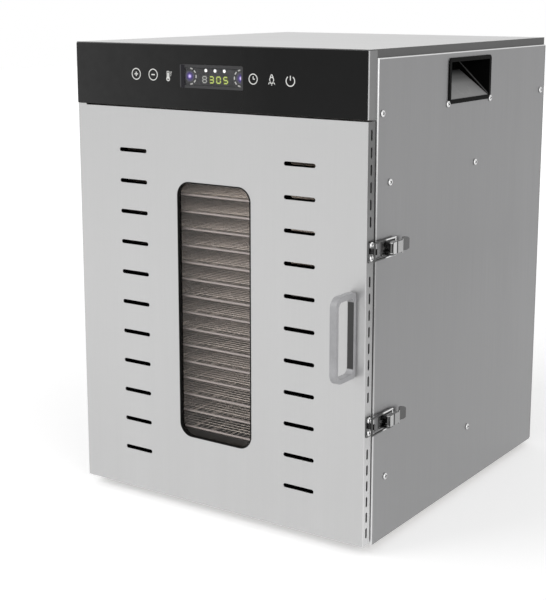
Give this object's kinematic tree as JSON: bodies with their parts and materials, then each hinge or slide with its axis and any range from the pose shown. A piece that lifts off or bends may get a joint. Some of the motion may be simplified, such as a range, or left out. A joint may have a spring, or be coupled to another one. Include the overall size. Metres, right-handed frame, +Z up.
{
  "type": "food dehydrator",
  "caption": "Cabinet food dehydrator: brushed-steel case, windowed door held by draw latches, touch control panel, sliding wire trays, rear fan and ring heater.",
  "frame": {"origin": "on the floor under the middle of the whole object's footprint, door handle and latches included", "axes": "+Z up, -Y out of the door, +X to the latch side"},
  "size_m": [0.432, 0.5146, 0.572],
  "materials": {
    "top_steel": "satin",
    "case_steel": "satin",
    "inner_steel": "plain",
    "door_steel": "fine brushed",
    "rack_steel": "plain",
    "tray_wire": "bright wire",
    "black_rubber": "matt",
    "touch_black": "gloss",
    "display_smoke": "smoked gloss",
    "board_green": "soldered",
    "fan_aluminium": "pressed",
    "motor_grey": "satin",
    "guard_chrome": "bright wire",
    "heater_steel": "dulled by heat",
    "lamp_opal": "opal",
    "turned_steel": "turned",
    "black_plastic": "moulded",
    "screw_steel": "bright",
    "latch_chrome": "bright",
    "pane_glass": "smoked",
    "handle_grey": "satin",
    "bearing_white": "plain"
  },
  "bodies": {
    "cabinet": {"top_cover": "top_steel", "left_side_panel": "case_steel", "right_side_panel": "case_steel", "back_panel": "case_steel", "base_pan": "inner_steel", "rubber_feet": "black_rubber", "front_frame": "inner_steel", "control_housing": "door_steel", "touch_panel": "touch_black", "display_lens": "display_smoke", "circuit_boards": "board_green", "liner_left": "inner_steel", "liner_right": "inner_steel", "liner_ceiling": "inner_steel", "liner_floor": "inner_steel", "rear_baffle": "inner_steel", "left_tray_rack": "rack_steel", "right_tray_rack": "rack_steel", "fan_motor": "motor_grey", "motor_bracket": "rack_steel", "fan_guard": "guard_chrome", "heater_element": "heater_steel", "interior_lamp": "lamp_opal", "temperature_sensor": "turned_steel", "power_inlet": "black_plastic", "left_handle_cup": "black_plastic", "right_handle_cup": "black_plastic", "case_screws": "screw_steel", "latch_bases": "latch_chrome", "hinge_pins": "turned_steel"},
    "door": {"door_shell": "door_steel", "door_inner_panel": "inner_steel", "door_glass": "pane_glass", "window_gasket": "black_rubber", "door_seal": "black_rubber", "door_handle": "handle_grey", "hinge_blocks": "bearing_white", "latch_keepers": "latch_chrome"},
    "upper_lever": {"upper_latch_lever": "latch_chrome"},
    "upper_bail": {"upper_latch_bail": "latch_chrome"},
    "lower_lever": {"lower_latch_lever": "latch_chrome"},
    "lower_bail": {"lower_latch_bail": "latch_chrome"},
    "fan": {"fan_impeller": "fan_aluminium"},
    "tray_01": {"tray_01": "tray_wire"},
    "tray_02": {"tray_02": "tray_wire"},
    "tray_03": {"tray_03": "tray_wire"},
    "tray_04": {"tray_04": "tray_wire"},
    "tray_05": {"tray_05": "tray_wire"},
    "tray_06": {"tray_06": "tray_wire"},
    "tray_07": {"tray_07": "tray_wire"},
    "tray_08": {"tray_08": "tray_wire"},
    "tray_09": {"tray_09": "tray_wire"},
    "tray_10": {"tray_10": "tray_wire"},
    "tray_11": {"tray_11": "tray_wire"},
    "tray_12": {"tray_12": "tray_wire"},
    "tray_13": {"tray_13": "tray_wire"},
    "tray_14": {"tray_14": "tray_wire"},
    "tray_15": {"tray_15": "tray_wire"},
    "tray_16": {"tray_16": "tray_wire"},
    "drip_tray": {"drip_tray": "rack_steel"}
  },
  "joints": [
    {"name": "door_hinge", "type": "hinge", "parent": "cabinet", "child": "door", "pos_m": [-0.2072, -0.2073, 0.25375], "axis": [0, 0, -1], "range_deg": [0, 120]},
    {"name": "upper_lever_pivot", "type": "hinge", "parent": "cabinet", "child": "upper_lever", "pos_m": [0.2118, -0.1753, 0.35375], "axis": [0, 0, -1], "range_deg": [0, 150]},
    {"name": "upper_bail_pivot", "type": "hinge", "parent": "upper_lever", "child": "upper_bail", "pos_m": [0.2093, -0.1613, 0.35375], "axis": [0, 0, -1], "range_deg": [-150, 0]},
    {"name": "lower_lever_pivot", "type": "hinge", "parent": "cabinet", "child": "lower_lever", "pos_m": [0.2118, -0.1753, 0.15375], "axis": [0, 0, -1], "range_deg": [0, 150]},
    {"name": "lower_bail_pivot", "type": "hinge", "parent": "lower_lever", "child": "lower_bail", "pos_m": [0.2093, -0.1613, 0.15375], "axis": [0, 0, -1], "range_deg": [-150, 0]},
    {"name": "fan_spin", "type": "hinge", "parent": "cabinet", "child": "fan", "pos_m": [-0.0042, 0.1865, 0.249], "axis": [0, 1, 0], "continuous": true},
    {"name": "tray_01_slide", "type": "slide", "parent": "cabinet", "child": "tray_01", "axis": [0, -1, 0], "range_m": [0, 0.012]},
    {"name": "tray_02_slide", "type": "slide", "parent": "cabinet", "child": "tray_02", "axis": [0, -1, 0], "range_m": [0, 0.012]},
    {"name": "tray_03_slide", "type": "slide", "parent": "cabinet", "child": "tray_03", "axis": [0, -1, 0], "range_m": [0, 0.012]},
    {"name": "tray_04_slide", "type": "slide", "parent": "cabinet", "child": "tray_04", "axis": [0, -1, 0], "range_m": [0, 0.012]},
    {"name": "tray_05_slide", "type": "slide", "parent": "cabinet", "child": "tray_05", "axis": [0, -1, 0], "range_m": [0, 0.012]},
    {"name": "tray_06_slide", "type": "slide", "parent": "cabinet", "child": "tray_06", "axis": [0, -1, 0], "range_m": [0, 0.012]},
    {"name": "tray_07_slide", "type": "slide", "parent": "cabinet", "child": "tray_07", "axis": [0, -1, 0], "range_m": [0, 0.012]},
    {"name": "tray_08_slide", "type": "slide", "parent": "cabinet", "child": "tray_08", "axis": [0, -1, 0], "range_m": [0, 0.012]},
    {"name": "tray_09_slide", "type": "slide", "parent": "cabinet", "child": "tray_09", "axis": [0, -1, 0], "range_m": [0, 0.012]},
    {"name": "tray_10_slide", "type": "slide", "parent": "cabinet", "child": "tray_10", "axis": [0, -1, 0], "range_m": [0, 0.012]},
    {"name": "tray_11_slide", "type": "slide", "parent": "cabinet", "child": "tray_11", "axis": [0, -1, 0], "range_m": [0, 0.012]},
    {"name": "tray_12_slide", "type": "slide", "parent": "cabinet", "child": "tray_12", "axis": [0, -1, 0], "range_m": [0, 0.012]},
    {"name": "tray_13_slide", "type": "slide", "parent": "cabinet", "child": "tray_13", "axis": [0, -1, 0], "range_m": [0, 0.012]},
    {"name": "tray_14_slide", "type": "slide", "parent": "cabinet", "child": "tray_14", "axis": [0, -1, 0], "range_m": [0, 0.012]},
    {"name": "tray_15_slide", "type": "slide", "parent": "cabinet", "child": "tray_15", "axis": [0, -1, 0], "range_m": [0, 0.012]},
    {"name": "tray_16_slide", "type": "slide", "parent": "cabinet", "child": "tray_16", "axis": [0, -1, 0], "range_m": [0, 0.012]},
    {"name": "drip_tray_slide", "type": "slide", "parent": "cabinet", "child": "drip_tray", "axis": [0, -1, 0], "range_m": [0, 0.012]}
  ],
  "couplings": [
    {"joint": "upper_bail_pivot", "follows": "upper_lever_pivot", "ratio": -1},
    {"joint": "lower_bail_pivot", "follows": "lower_lever_pivot", "ratio": -1}
  ]
}
